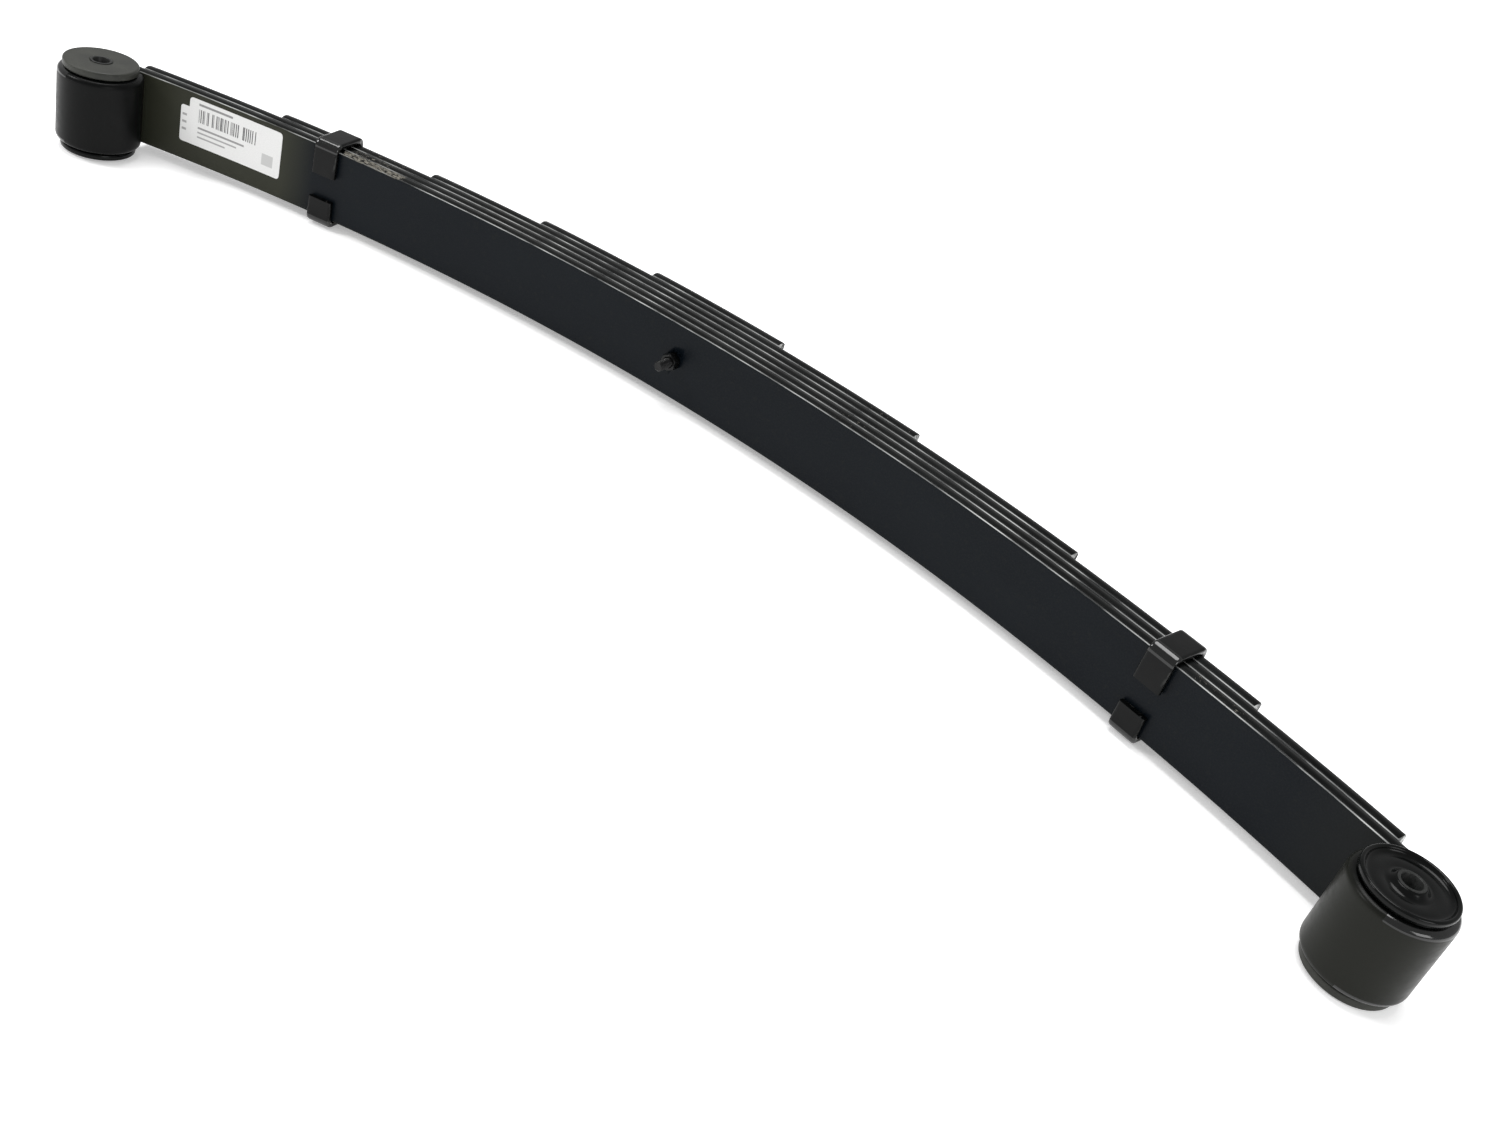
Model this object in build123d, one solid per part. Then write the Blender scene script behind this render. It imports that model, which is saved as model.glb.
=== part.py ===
from build123d import *
import os
from math import acos, cos, degrees, pi, sin, sqrt

# A six-leaf semi-elliptic spring, lying on its side.
# X runs along the spring, Z across the leaves, and +Y points out of the seat face.
# The origin is on the centre bolt's axis, at the seat face, which is the outside of the sixth leaf.
# A place along the spring is its station: the length from the centre bolt along the main leaf's
# inner face, negative towards the short limb. Sizes are in millimetres.

# Leaves
leaf_width = 63.5
leaf_thickness = 10.2
edge_round = 1.2
middle_radius = 1570.0        # inner face of the main leaf, around the centre bolt
middle_reach = 320.0          # how far that radius runs each way
short_limb_radius = 1690.0    # beyond it, towards the short limb's eye
long_limb_radius = 1900.0     # beyond it, towards the long limb's eye
short_limb_length = 552.0     # centre bolt to the eye's tangent point
long_limb_length = 651.0
short_limb_tips = [534.0, 410.0, 271.0, 170.0, 66.0]
long_limb_tips = [623.0, 507.0, 346.0, 194.0, 58.0]
leaf_names = ["second_leaf", "third_leaf", "fourth_leaf", "fifth_leaf", "sixth_leaf"]

# Rolled eyes
eye_bore_radius = 23.5
eye_end_gap = 0.6             # rolled end to the leaf's inner face

# Bushings
shell_fit = 0.05
shell_wall = 1.6
flange_radius = 29.8
flat_flange_height = 6.6      # above the eye's edge
dished_flange_height = 5.6
flange_gap = 0.5              # flange to the eye's edge
flange_round = 1.0
lip_width = 3.2
dish_depth = 3.4
hub_land = 0.3                # flat top of the hub around the sleeve
sleeve_radius = 8.75
sleeve_bore_radius = 6.6
sleeve_fit = 0.05
sleeve_proud = 0.5            # sleeve end beyond the flange face

# Centre bolt
bolt_radius = 4.0
bolt_hole_radius = 4.5
bolt_head_radius = 8.0
bolt_head_height = 9.0
bolt_head_chamfer = 1.5
bolt_end_reach = 20.0         # threaded end beyond the main leaf's inner face
bolt_end_chamfer = 0.8
nut_across_flats = 12.7
nut_height = 7.0
nut_fit = 0.05

# Rebound clips
clip_stations = {"short_limb_clip": -350.0, "long_limb_clip": 448.0}
clip_width = 22.0
clip_thickness = 4.8
clip_bend_radius = 1.5
clip_side_gap = 0.6           # strap to the leaves' edges
clip_face_gap = 0.3           # tabs to the main leaf's inner face
upper_tab_reach = 24.0        # from the leaf's edge
lower_tab_reach = 18.0
clipped_leaves = 3
rivet_radius = 4.0
rivet_head_radius = 7.5
rivet_head_height = 4.2
rivet_sink_radius = 6.5
rivet_sink_depth = 3.0
rivet_fit = 0.05

# Labels on the main leaf's inner face
label_thickness = 0.3
label_start = -483.0
label_length = 89.0
label_height = 41.0
label_bottom = -14.5
side_label_thickness = 0.15
side_label_start = -491.0
side_label_length = 58.0
side_label_height = 32.0

# Worked-out sizes
leaf_count = 1 + len(leaf_names)
pack_thickness = leaf_count * leaf_thickness
half_width = leaf_width / 2
eye_outer_radius = eye_bore_radius + leaf_thickness
shell_radius = eye_bore_radius - shell_fit
rubber_radius = shell_radius - shell_wall
rubber_bore_radius = sleeve_radius + sleeve_fit


def bend_line(station):
    """The main leaf's inner face at a station: its X and Y, and its slope angle."""
    side = 1 if station >= 0 else -1
    end_radius = long_limb_radius if side > 0 else short_limb_radius
    distance = abs(station)
    angle = min(distance, middle_reach) / middle_radius
    x = middle_radius * sin(angle)
    y = middle_radius * (cos(angle) - 1)
    if distance > middle_reach:
        end_angle = angle + (distance - middle_reach) / end_radius
        x += end_radius * (sin(end_angle) - sin(angle))
        y += end_radius * (cos(end_angle) - cos(angle))
        angle = end_angle
    return side * x, y - pack_thickness, side * angle


def leaf_point(station, offset):
    """A point at a station, this far outward from the main leaf's inner face."""
    x, y, angle = bend_line(station)
    return Vector(x + offset * sin(angle), y + offset * cos(angle))


def bent_run(start, end, offset):
    """Arcs from one station to another at an offset, split where the bend radius changes."""
    low, high = min(start, end), max(start, end)
    inner = [s for s in (-middle_reach, middle_reach) if low < s < high]
    stops = [low] + inner + [high]
    arcs = []
    for a, b in zip(stops, stops[1:]):
        points = [leaf_point(a, offset), leaf_point((a + b) / 2, offset), leaf_point(b, offset)]
        arcs.append(ThreePointArc(*points))
    return arcs


def strip(start, end, inner, outer, low, high):
    """A bent strip between two stations and two offsets, from Z low to Z high."""
    edges = bent_run(start, end, inner) + bent_run(start, end, outer)
    for station in (start, end):
        edges.append(Line(leaf_point(station, inner), leaf_point(station, outer)))
    return extrude(Pos(0, 0, low) * make_face(Curve() + edges), high - low, dir=(0, 0, 1))


def round_long_edges(solid):
    """Round the edges that run along a leaf on its two sides."""
    sides = solid.faces().filter_by(Axis.Z)
    edges = sides.edges().filter_by(lambda e: e.length > 1.5 * leaf_thickness)
    return fillet(edges, edge_round)


def place_at(station, offset=0.0):
    """A frame at a station: X along the leaf, Y outward, Z across."""
    x, y, angle = bend_line(station)
    return Pos(x, y, 0) * Rot(0, 0, -degrees(angle)) * Pos(0, offset, 0)


def eye_centre(station):
    return leaf_point(station, -eye_bore_radius)


def eye_wrap():
    """How far a rolled end goes round before it nears the leaf's inner face, in degrees."""
    return 360 - degrees(acos((eye_bore_radius - eye_end_gap) / eye_outer_radius))


def eye_edges(station):
    """The two arcs and the cut end of one rolled eye."""
    side = 1 if station > 0 else -1
    centre = eye_centre(station)
    start = 90 - degrees(bend_line(station)[2])
    wrap = -side * eye_wrap()
    inner = CenterArc(centre, eye_bore_radius, start, wrap)
    outer = CenterArc(centre, eye_outer_radius, start, wrap)
    return [inner, outer, Line(inner @ 1, outer @ 1)]


def cross_hole(station, radius):
    """A round tool across the whole pack at a station, along the leaf's normal."""
    tool = Cylinder(radius, 4 * pack_thickness)
    return place_at(station) * Rot(90, 0, 0) * tool


def main_leaf():
    """The longest leaf, rolled into an eye at each end towards the inner side."""
    ends = (-short_limb_length, long_limb_length)
    edges = bent_run(*ends, 0) + bent_run(*ends, leaf_thickness)
    for station in ends:
        edges += eye_edges(station)
    face = make_face(Curve() + edges)
    solid = extrude(Pos(0, 0, -half_width) * face, leaf_width, dir=(0, 0, 1))
    return round_long_edges(solid) - cross_hole(0, bolt_hole_radius)


def graduated_leaf(index):
    """A shorter leaf, cut square at both ends; index 0 lies against the main leaf."""
    inner = (index + 1) * leaf_thickness
    reach = (-short_limb_tips[index], long_limb_tips[index])
    solid = strip(*reach, inner, inner + leaf_thickness, -half_width, half_width)
    solid = round_long_edges(solid) - cross_hole(0, bolt_hole_radius)
    if index + 2 == clipped_leaves:
        for station in clip_stations.values():
            solid -= clip_rivet(station, rivet_fit)
    return solid


def clip_rivet(station, grow=0.0):
    """A rivet sunk into the clipped leaf, through it and the strap, with a domed head outside."""
    inner = (clipped_leaves - 1) * leaf_thickness
    strap_back = clipped_leaves * leaf_thickness + clip_thickness
    dome_radius = (rivet_head_radius**2 + rivet_head_height**2) / (2 * rivet_head_height)
    outline = Polyline(
        (0, inner),
        (rivet_sink_radius + grow, inner),
        (rivet_radius + grow, inner + rivet_sink_depth),
        (rivet_radius + grow, strap_back),
        (rivet_head_radius, strap_back),
    )
    top = (0, strap_back + rivet_head_height)
    dome = RadiusArc(outline @ 1, top, -dome_radius)
    closing = Line(top, (0, inner))
    half = make_face(Curve() + [outline, dome, closing])
    return place_at(station) * revolve(half, Axis.Y)


def rebound_clip(station):
    """A flat strap round the clipped leaves, its ends bent over onto the main leaf."""
    cavity_depth = clipped_leaves * leaf_thickness + clip_face_gap
    cavity_height = leaf_width + 2 * clip_side_gap
    middle = clipped_leaves * leaf_thickness - cavity_depth / 2
    inner = RectangleRounded(cavity_depth, cavity_height, clip_bend_radius)
    outer_size = [cavity_depth + 2 * clip_thickness, cavity_height + 2 * clip_thickness]
    outer = RectangleRounded(*outer_size, clip_bend_radius + clip_thickness)
    section = Pos(0, middle, 0) * Rot(0, 90, 0) * Rot(0, 0, 90) * (outer - inner)
    band = extrude(section, clip_width / 2, both=True)
    opening_top = half_width - upper_tab_reach
    opening_bottom = lower_tab_reach - half_width
    opening = Box(2 * clip_width, 2 * clip_thickness, opening_top - opening_bottom)
    band -= Pos(0, -clip_face_gap - clip_thickness / 2, (opening_top + opening_bottom) / 2) * opening
    return place_at(station) * band - clip_rivet(station, rivet_fit)


def centre_bolt():
    """Round locating head outside the sixth leaf, threaded end inside the main leaf."""
    on_seat = (Align.CENTER, Align.CENTER, Align.MIN)
    head = Rot(-90, 0, 0) * Cylinder(bolt_head_radius, bolt_head_height, align=on_seat)
    head = chamfer(head.edges().group_by(Axis.Y)[-1], bolt_head_chamfer)
    length = pack_thickness + bolt_end_reach
    shank = Rot(90, 0, 0) * Cylinder(bolt_radius, length, align=on_seat)
    shank = chamfer(shank.edges().group_by(Axis.Y)[0], bolt_end_chamfer)
    return head + shank


def centre_nut():
    """Hexagon nut whose corners bear on the main leaf's hollow face."""
    corner_radius = nut_across_flats / sqrt(3)
    hollow = middle_radius - sqrt(middle_radius**2 - corner_radius**2)
    outline = RegularPolygon(nut_across_flats / 2, 6, major_radius=False)
    nut = extrude(outline - Circle(bolt_radius + nut_fit), nut_height)
    return Pos(0, -pack_thickness - hollow, 0) * Rot(90, 0, 0) * nut


def bush_shell():
    """Steel tube that the rubber is bonded in, pressed into the eye."""
    return extrude(Circle(shell_radius) - Circle(rubber_radius), half_width, both=True)


def bush_rubber():
    """Rubber body with a flat flange at the top and a dished one at the bottom."""
    edge = half_width + flange_gap
    flat_face = half_width + flat_flange_height
    lip_face = half_width + dished_flange_height
    dish_floor = lip_face - dish_depth
    dish_radius = flange_radius - lip_width
    hub_radius = rubber_bore_radius + hub_land
    outline = Polyline(
        (rubber_bore_radius, -lip_face),
        (hub_radius, -lip_face),
        (hub_radius + dish_depth, -dish_floor),
        (dish_radius - dish_depth / 2, -dish_floor),
        (dish_radius, -lip_face),
        (flange_radius, -lip_face),
        (flange_radius, -edge),
        (rubber_radius, -edge),
        (rubber_radius, edge),
        (flange_radius, edge),
        (flange_radius, flat_face),
        (rubber_bore_radius, flat_face),
        (rubber_bore_radius, -lip_face),
    )
    section = Rot(90, 0, 0) * make_face(outline)
    body = revolve(section, Axis.Z)
    rims = body.edges().filter_by(lambda e: abs(e.length - 2 * pi * flange_radius) < 0.1)
    by_height = rims.group_by(Axis.Z)
    return fillet(by_height[0] + by_height[-1], flange_round)


def bush_sleeve():
    """Steel inner sleeve for the frame or shackle bolt."""
    top = half_width + flat_flange_height + sleeve_proud
    bottom = -half_width - dished_flange_height - sleeve_proud
    ring = Circle(sleeve_radius) - Circle(sleeve_bore_radius)
    return extrude(Pos(0, 0, bottom) * ring, top - bottom, dir=(0, 0, 1))


def in_eye(piece, station, turned_over):
    """Place a bushing piece in an eye, turned end for end if asked."""
    turn = Rot(180, 0, 0) if turned_over else Rot(0, 0, 0)
    return Pos(eye_centre(station)) * turn * piece


def labels():
    """A large shipping label over one end of a smaller one."""
    small_end = side_label_start + side_label_length
    small_top = label_bottom + side_label_height
    small = strip(side_label_start, small_end, -side_label_thickness, 0, label_bottom, small_top)
    end = label_start + label_length
    large = strip(label_start, end, -label_thickness, 0, label_bottom, label_bottom + label_height)
    return large - small, small


parts = {"main_leaf": main_leaf()}
for number, name in enumerate(leaf_names):
    parts[name] = graduated_leaf(number)
for name, station in clip_stations.items():
    parts[name] = rebound_clip(station)
    parts[name + "_rivet"] = clip_rivet(station)
parts["centre_bolt"] = centre_bolt()
parts["centre_nut"] = centre_nut()
eyes = (("short", -short_limb_length, False), ("long", long_limb_length, True))
for limb, station, turned_over in eyes:
    parts[limb + "_eye_shell"] = in_eye(bush_shell(), station, turned_over)
    parts[limb + "_eye_rubber"] = in_eye(bush_rubber(), station, turned_over)
    parts[limb + "_eye_sleeve"] = in_eye(bush_sleeve(), station, turned_over)
parts["shipping_label"], parts["side_label"] = labels()

os.makedirs("parts", exist_ok=True)
for node, shape in parts.items():
    export_step(shape, f"parts/{node}.step")
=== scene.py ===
import bmesh
import bpy
from math import acos, cos, pi, radians, sin, sqrt
from mathutils import Matrix, Vector


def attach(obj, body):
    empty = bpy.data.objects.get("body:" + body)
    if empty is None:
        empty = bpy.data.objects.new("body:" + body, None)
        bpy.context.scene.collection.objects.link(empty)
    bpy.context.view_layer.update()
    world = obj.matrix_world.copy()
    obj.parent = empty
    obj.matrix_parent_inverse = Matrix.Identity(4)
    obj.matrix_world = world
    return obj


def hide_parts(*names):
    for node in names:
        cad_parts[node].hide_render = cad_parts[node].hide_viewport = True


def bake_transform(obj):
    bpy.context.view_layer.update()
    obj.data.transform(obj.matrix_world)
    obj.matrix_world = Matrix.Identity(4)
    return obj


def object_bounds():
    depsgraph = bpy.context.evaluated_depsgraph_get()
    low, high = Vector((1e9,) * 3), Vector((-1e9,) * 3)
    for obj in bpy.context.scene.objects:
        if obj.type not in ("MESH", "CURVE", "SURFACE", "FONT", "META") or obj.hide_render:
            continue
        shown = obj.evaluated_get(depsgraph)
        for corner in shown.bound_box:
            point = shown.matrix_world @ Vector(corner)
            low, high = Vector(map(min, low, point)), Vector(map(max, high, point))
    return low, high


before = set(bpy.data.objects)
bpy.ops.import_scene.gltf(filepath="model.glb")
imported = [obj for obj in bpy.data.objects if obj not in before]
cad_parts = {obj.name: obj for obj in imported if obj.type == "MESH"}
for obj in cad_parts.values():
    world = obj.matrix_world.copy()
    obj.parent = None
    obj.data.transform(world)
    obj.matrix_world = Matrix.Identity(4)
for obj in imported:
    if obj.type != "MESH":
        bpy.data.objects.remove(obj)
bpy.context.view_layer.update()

# Main leaf. The longest spring-steel flat, bent to a wide arch and rolled at each
# end into a closed eye towards the hollow side. Rolled bar with crowned edges,
# quenched, then dip painted black, so the paint is thin along the arrises. The bright
# lines along the arrises are painted highlights as well as wear, and the side faces are
# painted near black as shade between the leaves.
mm = 0.001
leaf_width = 63.5
leaf_thickness = 10.2
half_thickness = leaf_thickness / 2
leaf_count = 6
pack_thickness = leaf_count * leaf_thickness
half_width = leaf_width / 2
middle_radius = 1570.0
middle_reach = 320.0
short_limb_radius = 1690.0
long_limb_radius = 1900.0
short_limb_length = 552.0
long_limb_length = 651.0
eye_bore_radius = 23.5
eye_end_gap = 0.6
arris_round = 1.3
eye_round = 4.2
edge_crown = 0.7
outer_wear_and_highlight = 0.55
lower_wear_and_highlight = 0.3
bolt_hole_radius = 4.5


def bend_line(station):
    """The main leaf's inner face at a station: its X and Y, and its slope."""
    side = 1 if station >= 0 else -1
    end_radius = long_limb_radius if side > 0 else short_limb_radius
    distance = abs(station)
    angle = min(distance, middle_reach) / middle_radius
    x = middle_radius * sin(angle)
    y = middle_radius * (cos(angle) - 1)
    if distance > middle_reach:
        end_angle = angle + (distance - middle_reach) / end_radius
        x += end_radius * (sin(end_angle) - sin(angle))
        y += end_radius * (cos(end_angle) - cos(angle))
        angle = end_angle
    return side * x, y - pack_thickness, side * angle


def leaf_spot(station, out, across):
    """A point at a station, this far out from the main leaf's inner face."""
    x, y, angle = bend_line(station)
    return Vector((x + out * sin(angle), y + out * cos(angle), across)) * mm


def eye_middle(station):
    """The middle of the eye rolled at the end of a limb, in millimetres."""
    x, y, angle = bend_line(station)
    return x - eye_bore_radius * sin(angle), y - eye_bore_radius * cos(angle)


def rolled_spot(station, turned, out, across):
    """A point on a rolled eye, this far round from where the limb ends."""
    side = 1 if station > 0 else -1
    x, y = eye_middle(station)
    around = pi / 2 - bend_line(station)[2] - side * turned
    reach = eye_bore_radius + out
    return Vector((x + reach * cos(around), y + reach * sin(around), across)) * mm


def bar_outline(outer_round):
    """Points round a rolled bar's section, each with how far it is out from the inner face
    and across, and how much of a worn arris and of an edge it is; the arris mark carries a
    painted highlight as well as wear. The outer arrises may be rounder, and they and all
    those on the lower side get a fainter painted highlight and less wear."""
    side = half_width - edge_crown
    upper = []
    for across in (0.0, 0.5, 0.93):
        upper.append((0.0, across * (side - arris_round), 0.0, 0.0))
    for turn in (0.0, 22.5, 45.0, 67.5, 90.0):
        a = radians(turn)
        upper.append((arris_round * (1 - cos(a)), side - arris_round * (1 - sin(a)),
                      1 - abs(turn - 45) / 45, turn / 90))
    for share in (0.12, 0.5, 0.88):
        crown = edge_crown * (1 - (2 * share - 1) ** 2)
        out = arris_round + share * (leaf_thickness - arris_round - outer_round)
        upper.append((out, side + crown, 0.0, 1.0))
    for turn in (90.0, 67.5, 45.0, 22.5, 0.0):
        a = radians(turn)
        upper.append((leaf_thickness - outer_round * (1 - cos(a)),
                      side - outer_round * (1 - sin(a)),
                      outer_wear_and_highlight * (1 - abs(turn - 45) / 45) * arris_round / outer_round,
                      turn / 90))
    for across in (0.93, 0.5):
        upper.append((leaf_thickness, across * (side - outer_round), 0.0, 0.0))
    lower = [(leaf_thickness, 0.0, 0.0, 0.0)]
    for out, across, arris, edge in reversed(upper[1:]):
        lower.append((out, -across, lower_wear_and_highlight * arris, edge))
    return upper + lower


def run_mesh(name, rings, lengths):
    """A bar from rings of (point, arris, edge), closed at both ends, with UVs in metres
    along and round. The end faces' own points are marked half arris and half edge."""
    end_mark = 0.5
    count = len(rings[0])
    mesh = bpy.data.meshes.new(name)
    spots = [spot[0] for ring in rings for spot in ring]
    faces = []
    places = []
    girth = [0.0]
    middle_ring = rings[len(rings) // 2]
    for k in range(count):
        chord = middle_ring[(k + 1) % count][0] - middle_ring[k][0]
        girth.append(girth[-1] + chord.length)
    for r in range(len(rings) - 1):
        for k in range(count):
            after = (k + 1) % count
            faces.append((r * count + k, r * count + after,
                          (r + 1) * count + after, (r + 1) * count + k))
            places.append(((lengths[r], girth[k]), (lengths[r], girth[k + 1]),
                           (lengths[r + 1], girth[k + 1]), (lengths[r + 1], girth[k])))
    for r, turned in ((0, True), (len(rings) - 1, False)):
        start = len(spots)
        spots.extend(spot[0] for spot in rings[r])
        cap = list(range(start, start + count))
        flat = [(lengths[r], girth[k]) for k in range(count)]
        faces.append(tuple(reversed(cap)) if turned else tuple(cap))
        places.append(tuple(reversed(flat)) if turned else tuple(flat))
    mesh.from_pydata(spots, [], faces)
    along = mesh.uv_layers.new(name="along")
    flat_places = [value for corners in places for spot in corners for value in spot]
    along.data.foreach_set("uv", flat_places)
    for label, index in (("arris", 1), ("edge", 2)):
        marks = mesh.attributes.new(label, "FLOAT", "POINT")
        values = [float(spot[index]) for ring in rings for spot in ring]
        values += [end_mark] * (len(mesh.vertices) - len(values))
        marks.data.foreach_set("value", values)
    mesh.shade_smooth()
    mesh.update()
    piece = bpy.data.objects.new(name, mesh)
    bpy.context.scene.collection.objects.link(piece)
    return piece


def face_outwards(piece):
    """Turn every face of a closed mesh to point out of it."""
    shell = bmesh.new()
    shell.from_mesh(piece.data)
    bmesh.ops.recalc_face_normals(shell, faces=shell.faces)
    shell.to_mesh(piece.data)
    shell.free()


def punch(piece, station, radius):
    """Cut the round hole for the centre bolt through a leaf."""
    x, y, angle = bend_line(station)
    ring = bmesh.new()
    turn = Matrix.Rotation(-angle, 4, "Z") @ Matrix.Rotation(pi / 2, 4, "X")
    bmesh.ops.create_cone(ring, cap_ends=True, segments=32, radius1=radius * mm,
                          radius2=radius * mm, depth=0.3,
                          matrix=Matrix.Translation((x * mm, y * mm, 0)) @ turn)
    tool_mesh = bpy.data.meshes.new("punch")
    ring.to_mesh(tool_mesh)
    ring.free()
    tool = bpy.data.objects.new("punch", tool_mesh)
    bpy.context.scene.collection.objects.link(tool)
    cut = piece.modifiers.new("bolt_hole", "BOOLEAN")
    cut.object = tool
    cut.solver = "EXACT"
    bpy.context.view_layer.update()
    made = piece.evaluated_get(bpy.context.evaluated_depsgraph_get())
    cut_mesh = bpy.data.meshes.new_from_object(made)
    piece.modifiers.clear()
    piece.data = cut_mesh
    bpy.data.objects.remove(tool)


def noise(nodes, links, place, scale, detail, rough, stretch=(1, 1, 1)):
    """A noise texture laid over a place, stretched along the bar if asked."""
    lay = nodes.new("ShaderNodeMapping")
    lay.inputs["Scale"].default_value = stretch
    links.new(place, lay.inputs["Vector"])
    made = nodes.new("ShaderNodeTexNoise")
    made.inputs["Scale"].default_value = scale
    made.inputs["Detail"].default_value = detail
    made.inputs["Roughness"].default_value = rough
    links.new(lay.outputs["Vector"], made.inputs["Vector"])
    return made.outputs["Fac"]


def ramp(nodes, links, value, low, high, bottom=0.0, top=1.0):
    """Spread a value's range from low to high over bottom to top, and hold it there."""
    made = nodes.new("ShaderNodeMapRange")
    made.inputs["From Min"].default_value = low
    made.inputs["From Max"].default_value = high
    made.inputs["To Min"].default_value = bottom
    made.inputs["To Max"].default_value = top
    links.new(value, made.inputs["Value"])
    return made.outputs["Result"]


def sum_of(nodes, links, how, one, two):
    """A sum, product or other pairing of two values; a plain number may stand for either."""
    made = nodes.new("ShaderNodeMath")
    made.operation = how
    for place, value in ((0, one), (1, two)):
        if isinstance(value, (int, float)):
            made.inputs[place].default_value = value
        else:
            links.new(value, made.inputs[place])
    return made.outputs["Value"]


def blend_colour(nodes, links, share, one, two):
    """One colour going over to another as the share goes from 0 to 1."""
    made = nodes.new("ShaderNodeMix")
    made.data_type = "RGBA"
    links.new(share, made.inputs["Factor"])
    for socket, value in ((6, one), (7, two)):
        if isinstance(value, tuple):
            made.inputs[socket].default_value = (*value, 1.0)
        else:
            links.new(value, made.inputs[socket])
    return made.outputs[2]


def between(nodes, links, value, low, high, soft):
    """1 while a value lies from low to high, falling off softly on both sides."""
    rise = ramp(nodes, links, value, low - soft, low)
    fall = ramp(nodes, links, value, high, high + soft, 1.0, 0.0)
    return sum_of(nodes, links, "MULTIPLY", rise, fall)


def raise_by(nodes, links, height, distance, strength, over=None):
    """A bump of this height, on top of another one if given."""
    made = nodes.new("ShaderNodeBump")
    made.inputs["Strength"].default_value = strength
    made.inputs["Distance"].default_value = distance
    links.new(height, made.inputs["Height"])
    if over is not None:
        links.new(over, made.inputs["Normal"])
    return made.outputs["Normal"]


def new_finish(name):
    """A material, with its nodes, its links and its shader."""
    finish = bpy.data.materials.new(name)
    finish.use_nodes = True
    nodes = finish.node_tree.nodes
    return finish, nodes, finish.node_tree.links, nodes["Principled BSDF"]


def black_leaf_finish(name, flakes, tinted=()):
    """Thin black dip paint over scaled spring steel: charcoal flats; side faces painted near
    black as painted shade of the grooves between the leaves; bright arrises that are painted
    highlight lines along with real wear; edges flaked bare between the given stations; and a
    colour of its own past each tinted station."""
    finish, nodes, links, shader = new_finish(name)
    lie = nodes.new("ShaderNodeUVMap")
    lie.uv_map = "along"
    place = lie.outputs["UV"]
    apart = nodes.new("ShaderNodeSeparateXYZ")
    links.new(place, apart.inputs["Vector"])
    along = apart.outputs["X"]
    worn_line = nodes.new("ShaderNodeAttribute")
    worn_line.attribute_name = "arris"
    side_face = nodes.new("ShaderNodeAttribute")
    side_face.attribute_name = "edge"

    clouds = noise(nodes, links, place, 14.0, 5.0, 0.6, (0.5, 1, 1))
    scale_spots = noise(nodes, links, place, 160.0, 6.0, 0.65)
    grain = noise(nodes, links, place, 900.0, 3.0, 0.6)
    drag = noise(nodes, links, place, 55.0, 5.0, 0.6, (0.35, 3.0, 1))
    chips = noise(nodes, links, place, 520.0, 6.0, 0.7, (0.6, 1.5, 1))

    tone = blend_colour(nodes, links, ramp(nodes, links, clouds, 0.35, 0.68),
                        (0.0008, 0.0022, 0.0042), (0.0024, 0.0042, 0.0064))
    tone = blend_colour(nodes, links, ramp(nodes, links, scale_spots, 0.56, 0.75),
                        tone, (0.0060, 0.0070, 0.0070))
    tone = blend_colour(nodes, links, ramp(nodes, links, grain, 0.46, 0.66, 0.0, 0.8),
                        tone, (0.0058, 0.0072, 0.0088))
    # Past each given station the tone goes over to the colour given with it.
    for here, full, colour in tinted:
        bloom = ramp(nodes, links, along, here * mm, full * mm)
        tone = blend_colour(nodes, links, bloom, tone, colour)
    # The side faces are painted near black: painted shade of the grooves between the leaves,
    # streaked by the drag noise.
    edge_shade_tone = blend_colour(nodes, links, ramp(nodes, links, drag, 0.38, 0.66),
                             (0.0002, 0.0003, 0.0003), (0.0036, 0.0042, 0.0042))
    tone = blend_colour(nodes, links, side_face.outputs["Fac"], tone, edge_shade_tone)

    # Bright grey along the arrises: painted highlight lines along with real wear, broken up by
    # the drag noise and fainter on the outer and lower arrises.
    wear = ramp(nodes, links, drag, 0.40, 0.62, 0.06, 1.0)
    wear = sum_of(nodes, links, "MULTIPLY", wear,
                  ramp(nodes, links, worn_line.outputs["Fac"], 0.45, 0.90))
    tone = blend_colour(nodes, links, wear, tone, (0.52, 0.53, 0.52))

    bare = None
    for start, end, amount in flakes:
        zone = between(nodes, links, along, start * mm, end * mm, 0.012)
        reach = ramp(nodes, links, zone, 0.0, 1.0, 0.9, amount)
        patch = sum_of(nodes, links, "SUBTRACT", chips, reach)
        patch = ramp(nodes, links, patch, 0.0, 0.05)
        bare = patch if bare is None else sum_of(nodes, links, "MAXIMUM", bare, patch)
    lip = sum_of(nodes, links, "MAXIMUM", side_face.outputs["Fac"], worn_line.outputs["Fac"])
    bare = sum_of(nodes, links, "MULTIPLY", bare, lip)
    metal = blend_colour(nodes, links, grain, (0.07, 0.064, 0.050), (0.27, 0.255, 0.22))
    tone = blend_colour(nodes, links, bare, tone, metal)
    links.new(tone, shader.inputs["Base Color"])

    dull = ramp(nodes, links, clouds, 0.3, 0.7, 0.27, 0.36)
    dull = sum_of(nodes, links, "ADD", dull, ramp(nodes, links, scale_spots, 0.4, 0.7, 0, 0.10))
    dull = sum_of(nodes, links, "SUBTRACT", dull,
                  sum_of(nodes, links, "MULTIPLY", side_face.outputs["Fac"], 0.13))
    dull = sum_of(nodes, links, "MAXIMUM", dull, sum_of(nodes, links, "MULTIPLY", bare, 0.62))
    links.new(dull, shader.inputs["Roughness"])
    shader.inputs["Specular IOR Level"].default_value = 0.09
    skin = raise_by(nodes, links, grain, 0.00005, 0.35)
    pits = raise_by(nodes, links, scale_spots, 0.00020, 0.35, skin)
    pits = raise_by(nodes, links, bare, -0.00025, 0.9, pits)
    links.new(raise_by(nodes, links, clouds, 0.0010, 0.20, pits), shader.inputs["Normal"])
    return finish


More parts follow.
